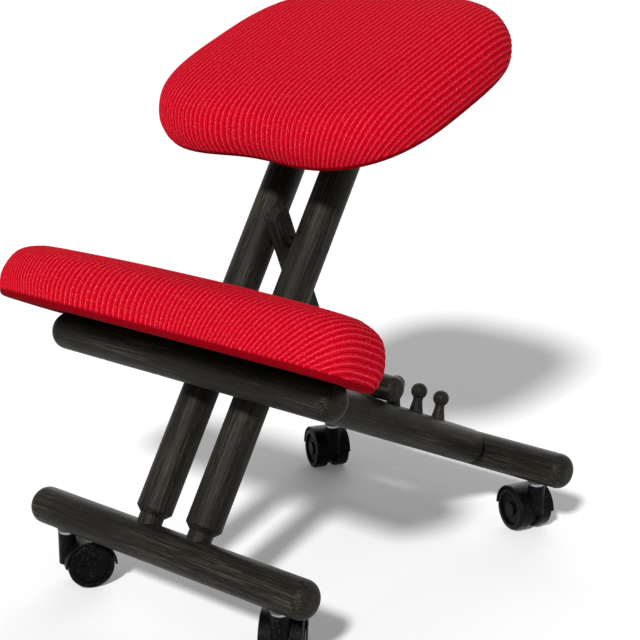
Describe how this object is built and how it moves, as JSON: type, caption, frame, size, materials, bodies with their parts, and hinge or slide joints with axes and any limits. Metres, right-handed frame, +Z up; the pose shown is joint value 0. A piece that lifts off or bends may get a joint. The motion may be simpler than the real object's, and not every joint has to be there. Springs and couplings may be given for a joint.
{
  "type": "kneeling chair",
  "caption": "Kneeling chair: dark turned-wood crossed frames with a forward-sloping seat and a shin pad in red ribbed fabric, a pegged prop for height, and swivel castors.",
  "frame": {"origin": "on the floor, under the middle of the chair's outline", "axes": "+Z up, +Y towards the back of the chair, +X to the right seen from the front pad's side"},
  "size_m": [0.4754, 0.5236, 0.6128],
  "materials": {
    "stained_wood": "satin stain, nearly black",
    "ribbed_fabric": "ribbed stretch fabric",
    "black_board": "black painted plywood",
    "castor_plastic": "moulded, half gloss",
    "socket_plastic": "moulded",
    "bright_steel": "turned",
    "black_steel": "black oxide"
  },
  "bodies": {
    "seat_frame": {"front_bar": "stained_wood", "post_left": "stained_wood", "post_right": "stained_wood", "seat_block": "stained_wood", "seat_board": "black_board", "seat_cushion": "ribbed_fabric", "seat_screws": "black_steel", "pivot_bolt": "black_steel", "pivot_nut": "black_steel", "pivot_sleeve": "black_steel", "pivot_spacers": "black_steel", "prop_bolt": "black_steel", "prop_nut": "black_steel", "prop_washers": "black_steel", "socket_front_left": "socket_plastic", "socket_front_right": "socket_plastic"},
    "knee_frame": {"rail_left": "stained_wood", "rail_right": "stained_wood", "knee_bar": "stained_wood", "rear_bar": "stained_wood", "knee_board": "black_board", "knee_cushion": "ribbed_fabric", "knee_screws": "black_steel", "pegs_left": "stained_wood", "pegs_right": "stained_wood", "socket_rear_left": "socket_plastic", "socket_rear_right": "socket_plastic"},
    "prop": {"prop_strut": "stained_wood", "foot_bar": "stained_wood"},
    "castor_front_left": {"stem_front_left": "bright_steel", "hood_front_left": "castor_plastic", "axle_front_left": "bright_steel"},
    "wheel_left_front_left": {"wheel_left_front_left": "castor_plastic"},
    "wheel_right_front_left": {"wheel_right_front_left": "castor_plastic"},
    "castor_front_right": {"stem_front_right": "bright_steel", "hood_front_right": "castor_plastic", "axle_front_right": "bright_steel"},
    "wheel_left_front_right": {"wheel_left_front_right": "castor_plastic"},
    "wheel_right_front_right": {"wheel_right_front_right": "castor_plastic"},
    "castor_rear_left": {"stem_rear_left": "bright_steel", "hood_rear_left": "castor_plastic", "axle_rear_left": "bright_steel"},
    "wheel_left_rear_left": {"wheel_left_rear_left": "castor_plastic"},
    "wheel_right_rear_left": {"wheel_right_rear_left": "castor_plastic"},
    "castor_rear_right": {"stem_rear_right": "bright_steel", "hood_rear_right": "castor_plastic", "axle_rear_right": "bright_steel"},
    "wheel_left_rear_right": {"wheel_left_rear_right": "castor_plastic"},
    "wheel_right_rear_right": {"wheel_right_rear_right": "castor_plastic"}
  },
  "joints": [
    {"name": "frame_fold", "type": "hinge", "parent": "seat_frame", "child": "knee_frame", "pos_m": [0, -0.12346, 0.24177], "axis": [-1, 0, 0], "range_deg": [0, 10]},
    {"name": "prop_swing", "type": "hinge", "parent": "seat_frame", "child": "prop", "pos_m": [0, -0.04204, 0.37007], "axis": [-1, 0, 0], "range_deg": [0, 9.5]},
    {"name": "swivel_front_left", "type": "hinge", "parent": "seat_frame", "child": "castor_front_left", "pos_m": [-0.153, -0.22422, 0.063], "axis": [0, 0, 1], "continuous": true},
    {"name": "roll_left_front_left", "type": "hinge", "parent": "castor_front_left", "child": "wheel_left_front_left", "pos_m": [-0.14134, -0.20556, 0.025], "axis": [-0.848, 0.5299, 0], "continuous": true},
    {"name": "roll_right_front_left", "type": "hinge", "parent": "castor_front_left", "child": "wheel_right_front_left", "pos_m": [-0.14134, -0.20556, 0.025], "axis": [-0.848, 0.5299, 0], "continuous": true},
    {"name": "swivel_front_right", "type": "hinge", "parent": "seat_frame", "child": "castor_front_right", "pos_m": [0.153, -0.22422, 0.063], "axis": [0, 0, 1], "continuous": true},
    {"name": "roll_left_front_right", "type": "hinge", "parent": "castor_front_right", "child": "wheel_left_front_right", "pos_m": [0.1407, -0.20598, 0.025], "axis": [-0.829, -0.5592, 0], "continuous": true},
    {"name": "roll_right_front_right", "type": "hinge", "parent": "castor_front_right", "child": "wheel_right_front_right", "pos_m": [0.1407, -0.20598, 0.025], "axis": [-0.829, -0.5592, 0], "continuous": true},
    {"name": "swivel_rear_left", "type": "hinge", "parent": "knee_frame", "child": "castor_rear_left", "pos_m": [-0.153, 0.21828, 0.063], "axis": [0, 0, 1], "continuous": true},
    {"name": "roll_left_rear_left", "type": "hinge", "parent": "castor_rear_left", "child": "wheel_left_rear_left", "pos_m": [-0.17205, 0.22928, 0.025], "axis": [-0.5, -0.866, 0], "continuous": true},
    {"name": "roll_right_rear_left", "type": "hinge", "parent": "castor_rear_left", "child": "wheel_right_rear_left", "pos_m": [-0.17205, 0.22928, 0.025], "axis": [-0.5, -0.866, 0], "continuous": true},
    {"name": "swivel_rear_right", "type": "hinge", "parent": "knee_frame", "child": "castor_rear_right", "pos_m": [0.153, 0.21828, 0.063], "axis": [0, 0, 1], "continuous": true},
    {"name": "roll_left_rear_right", "type": "hinge", "parent": "castor_rear_right", "child": "wheel_left_rear_right", "pos_m": [0.1326, 0.22652, 0.025], "axis": [-0.3746, -0.9272, 0], "continuous": true},
    {"name": "roll_right_rear_right", "type": "hinge", "parent": "castor_rear_right", "child": "wheel_right_rear_right", "pos_m": [0.1326, 0.22652, 0.025], "axis": [-0.3746, -0.9272, 0], "continuous": true}
  ],
  "couplings": [
    {"joint": "prop_swing", "follows": "frame_fold", "ratio": 0.95}
  ]
}
